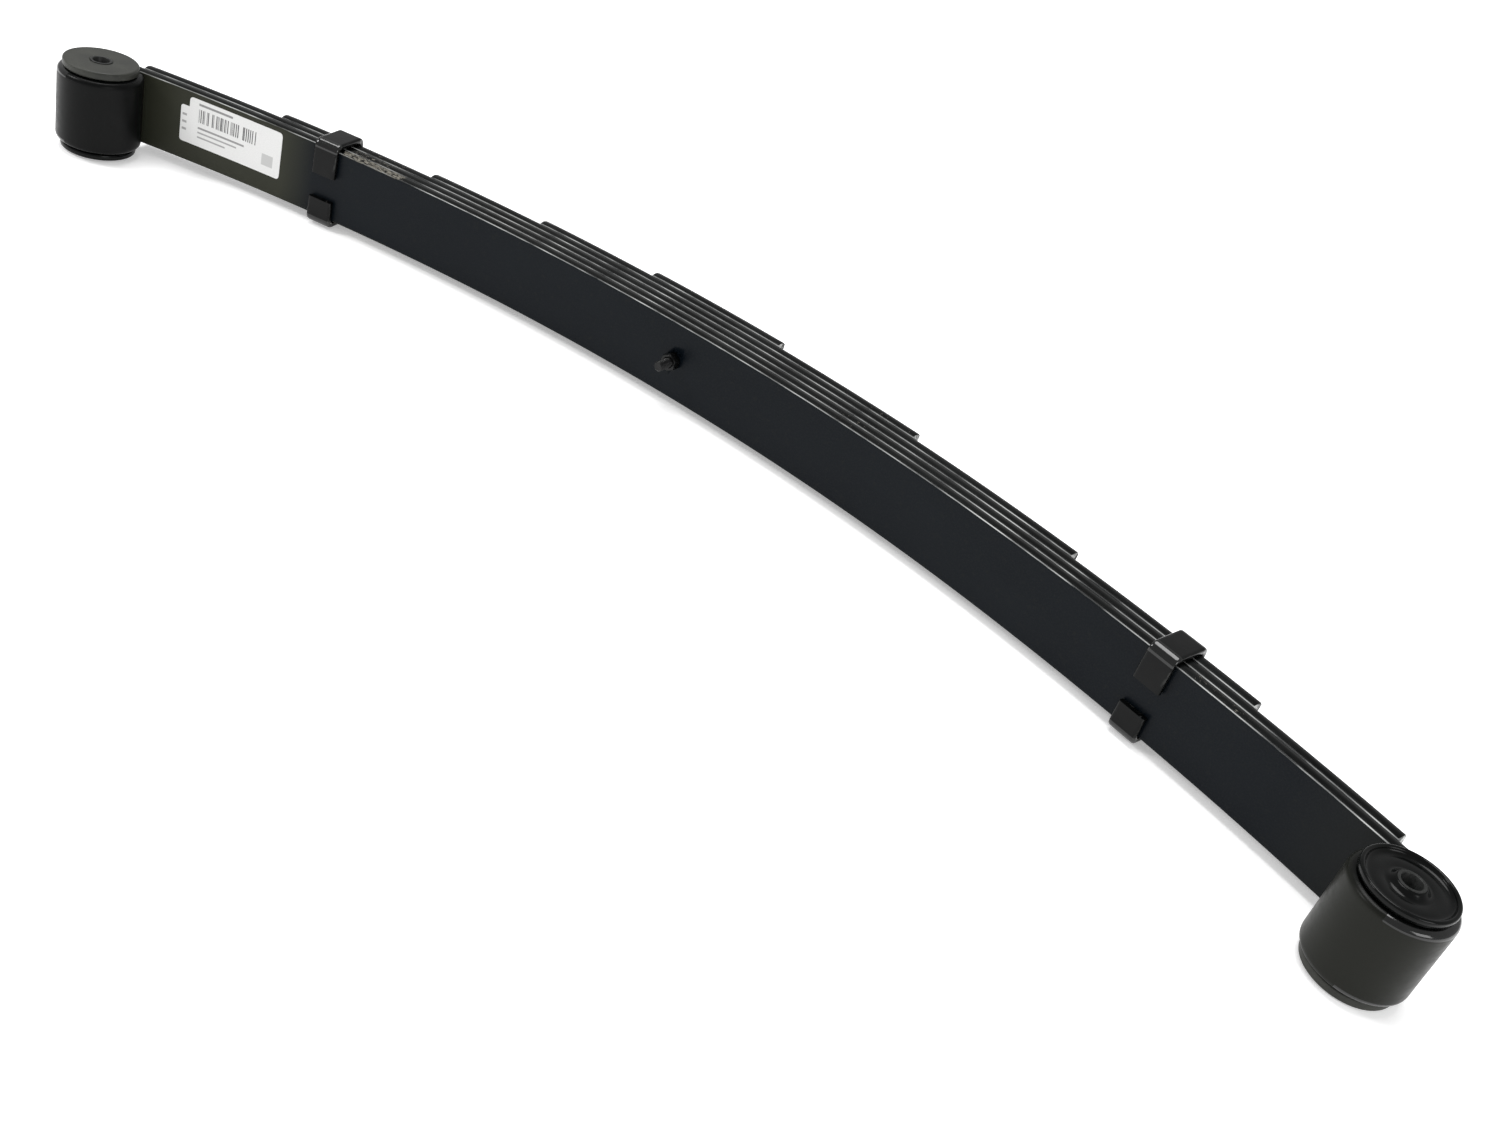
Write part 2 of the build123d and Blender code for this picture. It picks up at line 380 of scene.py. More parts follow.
def bend_with_pack(piece):
    """Bake a piece's placement into its mesh; it is not made to follow the spring's bending."""
    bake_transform(piece)


eye_steps = 64
rounding_steps = 10
eye_turn = 2 * pi - acos((eye_bore_radius - eye_end_gap) / (eye_bore_radius + leaf_thickness))
eye_length = eye_turn * (eye_bore_radius + half_thickness)


def eye_ring(station, step):
    """The bar's section this many steps round an eye, its outer arrises rounder there."""
    outer_round = arris_round + (eye_round - arris_round) * min(1.0, step / rounding_steps)
    turned = eye_turn * step / eye_steps
    return [(rolled_spot(station, turned, out, across), arris, edge)
            for out, across, arris, edge in bar_outline(outer_round)]


outline = bar_outline(arris_round)
rings = []
lengths = []
for step in range(eye_steps, 0, -1):
    rings.append(eye_ring(-short_limb_length, step))
    lengths.append((-short_limb_length - eye_length * step / eye_steps) * mm)
rows = 120
for step in range(rows + 1):
    station = -short_limb_length + (short_limb_length + long_limb_length) * step / rows
    rings.append([(leaf_spot(station, out, across), arris, edge)
                  for out, across, arris, edge in outline])
    lengths.append(station * mm)
for step in range(1, eye_steps + 1):
    rings.append(eye_ring(long_limb_length, step))
    lengths.append((long_limb_length + eye_length * step / eye_steps) * mm)
main_leaf = run_mesh("main_leaf_bar", rings, lengths)
face_outwards(main_leaf)
punch(main_leaf, 0, bolt_hole_radius)


def rim_gloss_finish(name):
    """The thick run of black paint that stays wet-looking round the eyes' rims."""
    finish, nodes, links, shader = new_finish(name)
    lie = nodes.new("ShaderNodeUVMap")
    lie.uv_map = "along"
    runs = noise(nodes, links, lie.outputs["UV"], 40.0, 4.0, 0.6, (1, 0.5, 1))
    peel = noise(nodes, links, lie.outputs["UV"], 700.0, 3.0, 0.5)
    links.new(blend_colour(nodes, links, ramp(nodes, links, runs, 0.35, 0.7),
                           (0.0010, 0.0012, 0.0012), (0.0040, 0.0042, 0.0040)),
              shader.inputs["Base Color"])
    links.new(ramp(nodes, links, runs, 0.3, 0.7, 0.09, 0.20), shader.inputs["Roughness"])
    shader.inputs["Specular IOR Level"].default_value = 0.5
    soft = raise_by(nodes, links, runs, 0.0008, 0.3)
    links.new(raise_by(nodes, links, peel, 0.00005, 0.3, soft), shader.inputs["Normal"])
    return finish


main_leaf.data.materials.append(black_leaf_finish(
    "main_leaf_paint", ((-336, -282, 0.47), (-430, -372, 0.66), (120, 200, 0.66),
                        (470, 520, 0.60)),
    ((-362, -392, (0.0240, 0.0250, 0.0175)), (-545, -560, (0.0022, 0.0024, 0.0024)),
     (560, 690, (0.0112, 0.0118, 0.0094)))))
main_leaf.data.materials.append(rim_gloss_finish("eye_rim_paint"))
short_eye_from = -533.0
long_eye_from = 622.0
rim_from = half_width - eye_round - edge_crown + 0.3
for face in main_leaf.data.polygons:
    on_eye = face.center.x < short_eye_from * mm or face.center.x > long_eye_from * mm
    if on_eye and abs(face.center.z) > rim_from * mm:
        face.material_index = 1
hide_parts("main_leaf")
bend_with_pack(main_leaf)

# Second to sixth leaves. Shorter flats of the same bar, sheared square and bent to lie
# on the main leaf's outer side. Each is held by the centre bolt, and the third also by
# the clips' rivets.
short_tips = (534.0, 410.0, 271.0, 170.0, 66.0)
long_tips = (623.0, 507.0, 346.0, 194.0, 58.0)
leaf_names = ("second", "third", "fourth", "fifth", "sixth")
leaf_flakes = (
    ((-332, -300, 0.55), (-480, -380, 0.68), (140, 175, 0.63)),
    ((-330, -290, 0.60), (430, 500, 0.66)),
    ((-271, -240, 0.62),),
    ((150, 190, 0.64),),
    ((-60, 60, 0.68),),
)
tip_length = 1.0
tip_chamfer = 0.35
row_spacing = 10
for number, name in enumerate(leaf_names):
    lift = (number + 1) * leaf_thickness
    start, end = -short_tips[number], long_tips[number]
    rows = max(8, int((end - start) / row_spacing))
    stations = [(start, True), (start + tip_length, False)]
    for step in range(1, rows):
        stations.append((start + (end - start) * step / rows, False))
    stations += [(end - tip_length, False), (end, True)]
    rings = []
    lengths = []
    for station, at_tip in stations:
        # Tip rings are marked full arris, so the painted highlight and wear also run round the
        # sheared ends.
        shrink = tip_chamfer if at_tip else 0.0
        ring = []
        for out, across, arris, edge in outline:
            out = half_thickness + (out - half_thickness) * (1 - shrink / half_thickness)
            across = across * (1 - shrink / half_width)
            ring.append((leaf_spot(station, lift + out, across), 1.0 if at_tip else arris, edge))
        rings.append(ring)
        lengths.append(station * mm)
    leaf = run_mesh(name + "_leaf_bar", rings, lengths)
    face_outwards(leaf)
    punch(leaf, 0, bolt_hole_radius)
    leaf.data.materials.append(black_leaf_finish(name + "_leaf_paint", leaf_flakes[number]))
    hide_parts(name + "_leaf")
    bend_with_pack(leaf)

# Centre bolt. Turned steel bolt through all six leaves: its round head stands out of the
# seat side and locates the axle, and its threaded end stands out of the hollow side.
bolt_radius = 4.0
thread_pitch = 1.25
thread_depth = 0.62


def turned_mesh(name, profile, middle, segments, closed=True):
    """Turn a profile of (radius, height) about a Z axis through a middle, in millimetres."""
    made = bmesh.new()
    rings = []
    for radius, height in profile:
        if radius < 1e-6:
            rings.append([made.verts.new((middle[0] * mm, middle[1] * mm, height * mm))])
            continue
        ring = []
        for k in range(segments):
            a = 2 * pi * k / segments
            ring.append(made.verts.new(((middle[0] + radius * cos(a)) * mm,
                                        (middle[1] + radius * sin(a)) * mm, height * mm)))
        rings.append(ring)
    pairs = list(zip(rings, rings[1:]))
    if closed:
        pairs.append((rings[-1], rings[0]))
    for one, two in pairs:
        for k in range(segments):
            after = (k + 1) % segments
            if len(one) == 1 and len(two) > 1:
                made.faces.new((one[0], two[after], two[k]))
            elif len(two) == 1 and len(one) > 1:
                made.faces.new((one[k], one[after], two[0]))
            elif len(one) > 1:
                made.faces.new((one[k], one[after], two[after], two[k]))
    bmesh.ops.recalc_face_normals(made, faces=made.faces)
    mesh = bpy.data.meshes.new(name)
    made.to_mesh(mesh)
    made.free()
    mesh.shade_smooth()
    piece = bpy.data.objects.new(name, mesh)
    bpy.context.scene.collection.objects.link(piece)
    return piece


def crisp(piece, width, angle):
    """Break a piece's sharp edges with a small bevel, and keep its flats flat."""
    edge = piece.modifiers.new("broken_edges", "BEVEL")
    edge.width = width * mm
    edge.segments = 2
    edge.limit_method = "ANGLE"
    edge.angle_limit = radians(angle)
    flat = piece.modifiers.new("flat_faces", "WEIGHTED_NORMAL")
    flat.keep_sharp = True
    bpy.context.view_layer.update()
    made = piece.evaluated_get(bpy.context.evaluated_depsgraph_get())
    done = bpy.data.meshes.new_from_object(made)
    piece.modifiers.clear()
    piece.data = done


def dark_fastener_finish(name, tone, light, rough):
    """Blackened steel of a bolt, nut or rivet, rubbed brighter in places."""
    finish, nodes, links, shader = new_finish(name)
    spot = nodes.new("ShaderNodeTexCoord").outputs["Object"]
    blotch = noise(nodes, links, spot, 260.0, 5.0, 0.6)
    grain = noise(nodes, links, spot, 1900.0, 3.0, 0.6)
    colour = blend_colour(nodes, links, ramp(nodes, links, blotch, 0.4, 0.68), tone, light)
    links.new(colour, shader.inputs["Base Color"])
    links.new(ramp(nodes, links, grain, 0.3, 0.7, rough - 0.09, rough + 0.12),
              shader.inputs["Roughness"])
    shader.inputs["Metallic"].default_value = 0.2
    shader.inputs["Specular IOR Level"].default_value = 0.25
    lumps = raise_by(nodes, links, blotch, 0.00018, 0.4)
    links.new(raise_by(nodes, links, grain, 0.00005, 0.4, lumps), shader.inputs["Normal"])
    return finish


threaded_from = -60.0
profile = [(0.0, 9.0), (6.2, 9.0), (6.6, 8.92), (7.9, 7.6), (8.0, 7.3), (8.0, 0.25),
           (7.8, 0.02), (4.3, 0.02), (bolt_radius, -0.4), (bolt_radius, threaded_from)]
threaded_to = -pack_thickness - 20.0
threads = bmesh.new()
columns = 40
turn_steps = 8
end_taper = 0.75
rings = []
for radius, height in profile[1:]:
    ring = []
    for k in range(columns):
        a = 2 * pi * k / columns
        ring.append(threads.verts.new((radius * cos(a), height, radius * sin(a))))
    rings.append(ring)
steps = int((threaded_from - threaded_to) / (thread_pitch / turn_steps))
for step in range(1, steps + 1):
    height = threaded_from + (threaded_to - threaded_from) * step / steps
    fade = min(1.0, step / 6, (steps - step) / 3 + 0.2)
    ring = []
    for k in range(columns):
        turn = (height / thread_pitch + k / columns) % 1.0
        groove = min(1.0, max(0.0, 1.5 - abs(turn - 0.5) * 3.6))
        radius = bolt_radius - thread_depth * (1 - groove) * min(1.0, fade)
        radius -= end_taper * max(0.0, 1 - (steps - step) / 5)
        a = 2 * pi * k / columns
        ring.append(threads.verts.new((radius * cos(a), height, radius * sin(a))))
    rings.append(ring)
for one, two in zip(rings, rings[1:]):
    for k in range(columns):
        after = (k + 1) % columns
        threads.faces.new((one[k], one[after], two[after], two[k]))
threads.faces.new(rings[0])
threads.faces.new(list(reversed(rings[-1])))
bmesh.ops.recalc_face_normals(threads, faces=threads.faces)
bmesh.ops.scale(threads, vec=(mm, mm, mm), verts=threads.verts)
bolt_mesh = bpy.data.meshes.new("centre_bolt_turned")
threads.to_mesh(bolt_mesh)
threads.free()
bolt_mesh.shade_smooth()
for face in bolt_mesh.polygons:
    face.use_smooth = len(face.vertices) == 4
bolt = bpy.data.objects.new("centre_bolt_turned", bolt_mesh)
bpy.context.scene.collection.objects.link(bolt)
bolt_mesh.materials.append(dark_fastener_finish(
    "bolt_black", (0.0012, 0.0013, 0.0014), (0.0075, 0.0075, 0.0075), 0.22))
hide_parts("centre_bolt")
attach(bolt, "spring_pack")

# Centre nut. Hexagon nut run up the bolt's thread onto the main leaf's hollow face, its
# corners turned off to a cone on both ends.
nut_across_flats = 12.7
nut_height = 7.0
corner = nut_across_flats / sqrt(3)
hollow = middle_radius - sqrt(middle_radius ** 2 - corner ** 2)
nut_top = -pack_thickness - hollow
hexagon = bmesh.new()
columns = 48
turned_off = (6.35, 6.35, 6.95, 9.0)
rings = []
nut_rows = ((4.6, 0.0, 0), (5.9, 0.0, 0), (None, 0.0, 1), (None, 0.55, 2), (None, 1.5, 3),
            (None, nut_height - 1.5, 3), (None, nut_height - 0.55, 2),
            (None, nut_height, 1), (5.9, nut_height, 0), (4.6, nut_height, 0),
            (4.1, nut_height - 0.5, 0), (4.1, 0.5, 0))
for fixed, depth, kind in nut_rows:
    ring = []
    for k in range(columns):
        a = 2 * pi * k / columns
        off = (a + pi / 6) % (pi / 3) - pi / 6
        flat = nut_across_flats / 2 / cos(off)
        radius = fixed if fixed else min(flat, turned_off[kind])
        ring.append(hexagon.verts.new((radius * cos(a) * mm, (nut_top - depth) * mm,
                                       radius * sin(a) * mm)))
    rings.append(ring)
for one, two in zip(rings, rings[1:] + rings[:1]):
    for k in range(columns):
        after = (k + 1) % columns
        hexagon.faces.new((one[k], one[after], two[after], two[k]))
bmesh.ops.recalc_face_normals(hexagon, faces=hexagon.faces)
nut_mesh = bpy.data.meshes.new("centre_nut_hexagon")
hexagon.to_mesh(nut_mesh)
hexagon.free()
nut_mesh.shade_smooth()
nut = bpy.data.objects.new("centre_nut_hexagon", nut_mesh)
bpy.context.scene.collection.objects.link(nut)
crisp(nut, 0.12, 20.0)
nut.data.materials.append(dark_fastener_finish(
    "nut_black", (0.0012, 0.0013, 0.0014), (0.0060, 0.0060, 0.0060), 0.20))
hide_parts("centre_nut")
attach(nut, "spring_pack")

# Rebound clips. Flat steel straps bent round the first three leaves and closed over the
# main leaf's hollow face, painted black, glossier on the bends. Each is riveted to the
# third leaf.
clip_stations = (("short_limb_clip", -350.0), ("long_limb_clip", 448.0))
clip_width = 22.0
clip_thickness = 4.8
clip_bend = 2.2
clip_side_gap = 0.6
clip_face_gap = 0.3
clip_soft = 1.5
clip_scuff = 0.7
upper_tab = 24.0
lower_tab = 18.0
clipped = 3
bend_points = 9


def clip_line():
    """The strap's inner line from the upper tab's end round to the lower tab's end: out
    from the main leaf's inner face, across, and the direction away from the leaves."""
    near = -clip_face_gap
    far = clipped * leaf_thickness
    side = half_width + clip_side_gap
    steps = [(near, half_width - upper_tab, -1.0, 0.0),
             (near, half_width - upper_tab * 0.45, -1.0, 0.0)]
    corners = ((near, side, pi), (far, side, pi / 2), (far, -side, 0.0), (near, -side, -pi / 2))
    for out, across, first in corners:
        middle_out = out + clip_bend * (1 if out == near else -1)
        middle_across = across - clip_bend * (1 if across > 0 else -1)
        for share in range(bend_points):
            a = first - share / (bend_points - 1) * pi / 2
            steps.append((middle_out + clip_bend * cos(a), middle_across + clip_bend * sin(a),
                          cos(a), sin(a)))
    steps.append((near, lower_tab * 0.55 - half_width, -1.0, 0.0))
    steps.append((near, lower_tab - half_width, -1.0, 0.0))
    return steps


def gloss_clip_finish(name, specular):
    """Black paint on a bent strap, scuffed along its arrises, with a little orange peel."""
    finish, nodes, links, shader = new_finish(name)
    lie = nodes.new("ShaderNodeUVMap")
    lie.uv_map = "along"
    place = lie.outputs["UV"]
    worn_line = nodes.new("ShaderNodeAttribute")
    worn_line.attribute_name = "arris"
    clouds = noise(nodes, links, place, 45.0, 4.0, 0.6)
    peel = noise(nodes, links, place, 520.0, 3.0, 0.5)
    scuffs = noise(nodes, links, place, 150.0, 6.0, 0.65, (0.4, 1.6, 1))
    tone = blend_colour(nodes, links, ramp(nodes, links, clouds, 0.35, 0.7),
                        (0.0010, 0.0012, 0.0012), (0.0030, 0.0032, 0.0032))
    wear = sum_of(nodes, links, "MULTIPLY", ramp(nodes, links, scuffs, 0.55, 0.66),
                  worn_line.outputs["Fac"])
    tone = blend_colour(nodes, links, wear, tone, (0.06, 0.06, 0.058))
    links.new(tone, shader.inputs["Base Color"])
    dull = sum_of(nodes, links, "ADD", ramp(nodes, links, clouds, 0.3, 0.7, 0.07, 0.15),
                  ramp(nodes, links, scuffs, 0.5, 0.75, 0.0, 0.18))
    links.new(dull, shader.inputs["Roughness"])
    shader.inputs["Specular IOR Level"].default_value = specular
    skin = raise_by(nodes, links, peel, 0.00008, 0.25)
    links.new(raise_by(nodes, links, clouds, 0.0008, 0.25, skin), shader.inputs["Normal"])
    return finish


clip_paint = gloss_clip_finish("clip_gloss_black", 0.13)
clip_bend_paint = gloss_clip_finish("clip_bend_gloss_black", 0.5)
line = clip_line()
half = clip_width / 2
flat = half - clip_soft - 1.2
cut = 0.29 * clip_soft
middle_depth = 0.5 * clip_thickness
section = (
    (-flat, 0.0, 0), (0.0, 0.0, 0), (flat, 0.0, 0), (half - clip_soft, 0.0, 0.6),
    (half - cut, cut, 1), (half, clip_soft, 0.6), (half, middle_depth, 0),
    (half, clip_thickness - clip_soft, 0.6), (half - cut, clip_thickness - cut, 1),
    (half - clip_soft, clip_thickness, 0.6), (flat, clip_thickness, 0),
    (0.0, clip_thickness, 0), (-flat, clip_thickness, 0),
    (-half + clip_soft, clip_thickness, 0.6), (-half + cut, clip_thickness - cut, 1),
    (-half, clip_thickness - clip_soft, 0.6), (-half, middle_depth, 0),
    (-half, clip_soft, 0.6), (-half + cut, cut, 1), (-half + clip_soft, 0.0, 0.6))
for name, station in clip_stations:
    x, y, angle = bend_line(station)
    rings = []
    lengths = []
    travelled = 0.0
    for number, (out, across, away_out, away_across) in enumerate(line):
        if number:
            before = line[number - 1]
            travelled += sqrt((out - before[0]) ** 2 + (across - before[1]) ** 2) + 0.2
        ring = []
        for along, depth, arris in section:
            reach = out + away_out * depth
            spot = Vector((x + along * cos(angle) + reach * sin(angle),
                           y - along * sin(angle) + reach * cos(angle),
                           across + away_across * depth)) * mm
            ring.append((spot, clip_scuff * arris, 0.0))
        rings.append(ring)
        lengths.append(travelled * mm)
    strap = run_mesh(name + "_strap", rings, lengths)
    face_outwards(strap)
    strap.data.materials.append(clip_paint)
    strap.data.materials.append(clip_bend_paint)
    for number, face in enumerate(strap.data.polygons):
        row = number // len(section) - 2
        if 0 <= row < 4 * bend_points and row % bend_points < bend_points - 1:
            face.material_index = 1
    crisp(strap, 0.35, 60.0)
    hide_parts(name)
    bend_with_pack(strap)

# Clip rivets. Steel rivets with domed heads outside the strap; the shank goes through the
# strap and the third leaf and is spread flush in a countersink.
rivet_paint = dark_fastener_finish("rivet_black", (0.007, 0.007, 0.008),
                                   (0.020, 0.020, 0.0195), 0.28)
strap_back = clipped * leaf_thickness + clip_thickness
seat = (clipped - 1) * leaf_thickness
head_radius = 7.4
shank_radius = 3.95
for name, station in clip_stations:
    rise = [(0.0, strap_back + 4.2)]
    for a in range(12, 91, 13):
        rise.append((head_radius * sin(radians(a)), strap_back + 0.15 + 4.05 * cos(radians(a))))
    profile = rise + [(head_radius, strap_back + 0.02), (shank_radius, strap_back + 0.02),
                      (shank_radius, seat + 3.0), (6.4, seat + 0.05), (0.0, seat + 0.05)]
    rivet = turned_mesh(name + "_rivet_headed", profile, (0, 0), 40, False)
    x, y, angle = bend_line(station)
    turn = Matrix.Rotation(-angle, 4, "Z") @ Matrix.Rotation(-pi / 2, 4, "X")
    rivet.data.transform(Matrix.Translation((x * mm, y * mm, 0)) @ turn)
    rivet.data.materials.append(rivet_paint)
    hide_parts(name + "_rivet")
    bend_with_pack(rivet)

# Bushings. Each is a rubber body bonded between a thin steel shell, pressed into the eye,
# and a steel sleeve for the pin. One end has a plain flange and the other a dished one
# with a raised lip and a hub; the long limb's bushing is fitted the other way up.
flange_radius = 29.8
flat_face = half_width + 6.6
lip_face = half_width + 5.6
dish_floor = lip_face - 3.4
rubber_radius = 21.85
hub_radius = 9.1
flange_edge = half_width + 0.5
sleeve_stand = 0.5


def rubber_finish(name, dark, pale, rough, spread, specular):
    """Moulded rubber with a bloom that pales it unevenly and a fine skin."""
    finish, nodes, links, shader = new_finish(name)
    spot = nodes.new("ShaderNodeTexCoord").outputs["Object"]
    bloom = noise(nodes, links, spot, 60.0, 5.0, 0.6)
    skin = noise(nodes, links, spot, 1500.0, 3.0, 0.6)
    dust = noise(nodes, links, spot, 420.0, 6.0, 0.7)
    tone = blend_colour(nodes, links, ramp(nodes, links, bloom, 0.34, 0.70), dark, pale)
    pale_spot = tuple(min(1.0, 1.8 * v + 0.01) for v in pale)
    tone = blend_colour(nodes, links, ramp(nodes, links, dust, 0.62, 0.80, 0.0, 0.5),
                        tone, pale_spot)
    links.new(tone, shader.inputs["Base Color"])
    dull = sum_of(nodes, links, "ADD", ramp(nodes, links, bloom, 0.3, 0.7, rough, rough + spread),
                  ramp(nodes, links, dust, 0.5, 0.8, 0.0, 0.12))
    links.new(dull, shader.inputs["Roughness"])
    shader.inputs["Specular IOR Level"].default_value = specular
    soft = raise_by(nodes, links, bloom, 0.0005, 0.15)
    links.new(raise_by(nodes, links, skin, 0.00005, 0.25, soft), shader.inputs["Normal"])
    return finish


def sleeve_finish(name):
    """Drawn steel tube, phosphated dark, with fine streaks."""
    finish, nodes, links, shader = new_finish(name)
    spot = nodes.new("ShaderNodeTexCoord").outputs["Object"]
    streaks = noise(nodes, links, spot, 1100.0, 4.0, 0.6, (1, 1, 0.4))
    grain = noise(nodes, links, spot, 2200.0, 2.0, 0.5)
    colour = blend_colour(nodes, links, ramp(nodes, links, streaks, 0.35, 0.7),
                          (0.010, 0.0105, 0.0102), (0.026, 0.027, 0.026))
    links.new(colour, shader.inputs["Base Color"])
    links.new(ramp(nodes, links, grain, 0.3, 0.7, 0.30, 0.46), shader.inputs["Roughness"])
    shader.inputs["Metallic"].default_value = 0.2
    shader.inputs["Specular IOR Level"].default_value = 0.2
    links.new(raise_by(nodes, links, streaks, 0.00004, 0.3), shader.inputs["Normal"])
    return finish


def shell_finish(name):
    """Thin pressed tube in plain dark steel, seen only in the gap under the flanges."""
    finish, nodes, links, shader = new_finish(name)
    spot = nodes.new("ShaderNodeTexCoord").outputs["Object"]
    streaks = noise(nodes, links, spot, 300.0, 5.0, 0.6)
    links.new(blend_colour(nodes, links, streaks, (0.03, 0.03, 0.03), (0.14, 0.14, 0.135)),
              shader.inputs["Base Color"])
    links.new(ramp(nodes, links, streaks, 0.3, 0.7, 0.35, 0.55), shader.inputs["Roughness"])
    shader.inputs["Metallic"].default_value = 0.7
    links.new(raise_by(nodes, links, streaks, 0.0001, 0.4), shader.inputs["Normal"])
    return finish


flange_rubber = rubber_finish("flange_rubber", (0.020, 0.021, 0.018), (0.037, 0.038, 0.0325),
                              0.36, 0.18, 0.22)
dish_rubber = rubber_finish("dish_rubber", (0.0010, 0.0012, 0.0012), (0.0026, 0.0030, 0.0028),
                            0.12, 0.10, 0.13)
sleeve_steel = sleeve_finish("sleeve_steel")
shell_steel = shell_finish("shell_steel")
for limb, station, turned_over in (("short", -short_limb_length, False),
                                   ("long", long_limb_length, True)):
    up = -1 if turned_over else 1
    middle = eye_middle(station)
    rim = []
    for k in range(7):
        a = radians(15 * k)
        rim.append((flange_radius - 2.0 + 2.0 * sin(a), flat_face - 2.0 + 2.0 * cos(a)))
    lip = []
    for k in range(9):
        a = radians(22.5 * k)
        lip.append((flange_radius - 1.6 + 1.6 * cos(a), -lip_face + 1.6 - 1.6 * sin(a)))
    dish = [(hub_radius + 3.9 + 14.9 * k / 6 * 0.72, -dish_floor - 0.45 * sin(pi * k / 6))
            for k in range(7)]
    profile = [(8.8, flat_face - 0.5), (9.3, flat_face - 0.06), (10.4, flat_face),
               (24.0, flat_face), (26.6, flat_face - 0.1)]
    profile += rim
    profile += [(flange_radius, flat_face - 3.4), (flange_radius, flange_edge + 0.9),
                (flange_radius - 0.3, flange_edge + 0.25), (flange_radius - 0.9, flange_edge),
                (rubber_radius + 0.3, flange_edge), (rubber_radius, flange_edge - 0.3),
                (rubber_radius, -flange_edge + 0.3), (rubber_radius + 0.3, -flange_edge),
                (flange_radius - 0.8, -flange_edge), (flange_radius, -flange_edge - 0.7)]
    profile += lip
    profile += [(flange_radius - 3.5, -lip_face + 2.1), (flange_radius - 4.5, -dish_floor - 0.35)]
    profile += list(reversed(dish))
    profile += [(hub_radius + 2.4, -dish_floor - 1.1), (hub_radius + 0.9, -lip_face + 0.75),
                (hub_radius + 0.3, -lip_face + 0.12), (hub_radius, -lip_face),
                (8.8, -lip_face)]
    profile = [(radius, up * height) for radius, height in profile]
    rubber = turned_mesh(limb + "_eye_rubber_moulded", profile, middle, 96)
    rubber.data.materials.append(flange_rubber)
    rubber.data.materials.append(dish_rubber)
    for face in rubber.data.polygons:
        face.material_index = 1 if up * face.center.z < -half_width * mm else 0
    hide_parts(limb + "_eye_rubber")
    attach(rubber, limb + "_eye")

    top = flat_face + sleeve_stand
    bottom = -lip_face - sleeve_stand
    ends = [(6.6, top - 0.45), (7.0, top - 0.05), (7.3, top), (8.35, top), (8.65, top - 0.08),
            (8.75, top - 0.4), (8.75, bottom + 0.4), (8.65, bottom + 0.08), (8.35, bottom),
            (7.3, bottom), (7.0, bottom + 0.05), (6.6, bottom + 0.45)]
    ends = [(radius, up * height) for radius, height in ends]
    sleeve = turned_mesh(limb + "_eye_sleeve_tube", ends, middle, 72)
    sleeve.data.materials.append(sleeve_steel)
    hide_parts(limb + "_eye_sleeve")
    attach(sleeve, limb + "_sleeve")

    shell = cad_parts[limb + "_eye_shell"]
    for place in shell.material_slots:
        place.material = shell_steel

# Labels. Two paper labels stuck on the main leaf's hollow face near the short eye, the
# larger over one end of the smaller, each with rounded corners and plain dark print.
label_bottom = -14.5


def stuck_label(name, node, start, length, height, thickness, corner, slices):
    """A thin sheet with rounded corners that follows the leaf's inner face."""
    columns = 40
    made = bmesh.new()
    lie = made.loops.layers.uv.new("along")
    grid = {}
    for i in range(columns + 1):
        t = i / columns
        at = length * (t - sin(2 * pi * t) / (2 * pi) * 0.8)
        edge = min(at, length - at)
        cut = corner - sqrt(max(0.0, corner ** 2 - max(0.0, corner - edge) ** 2))
        for j in range(slices + 1):
            share = j / slices
            across = label_bottom + cut + (height - 2 * cut) * share
            for face, lift in ((0, 0.01), (1, thickness)):
                spot = leaf_spot(start + at, -lift, across)
                grid[i, j, face] = (made.verts.new(spot),
                                    (at / length, (across - label_bottom) / height))
    quads = []
    for i in range(columns):
        for j in range(slices):
            for face in (0, 1):
                quads.append([grid[i, j, face], grid[i + 1, j, face],
                              grid[i + 1, j + 1, face], grid[i, j + 1, face]])
        for j in (0, slices):
            quads.append([grid[i, j, 0], grid[i + 1, j, 0], grid[i + 1, j, 1], grid[i, j, 1]])
    for j in range(slices):
        for i in (0, columns):
            quads.append([grid[i, j, 0], grid[i, j + 1, 0], grid[i, j + 1, 1], grid[i, j, 1]])
    for quad in quads:
        face = made.faces.new([spot for spot, _ in quad])
        for loop, (_, place) in zip(face.loops, quad):
            loop[lie].uv = place
    bmesh.ops.recalc_face_normals(made, faces=made.faces)
    mesh = bpy.data.meshes.new(name)
    made.to_mesh(mesh)
    made.free()
    label = bpy.data.objects.new(name, mesh)
    bpy.context.scene.collection.objects.link(label)
    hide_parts(node)
    return label


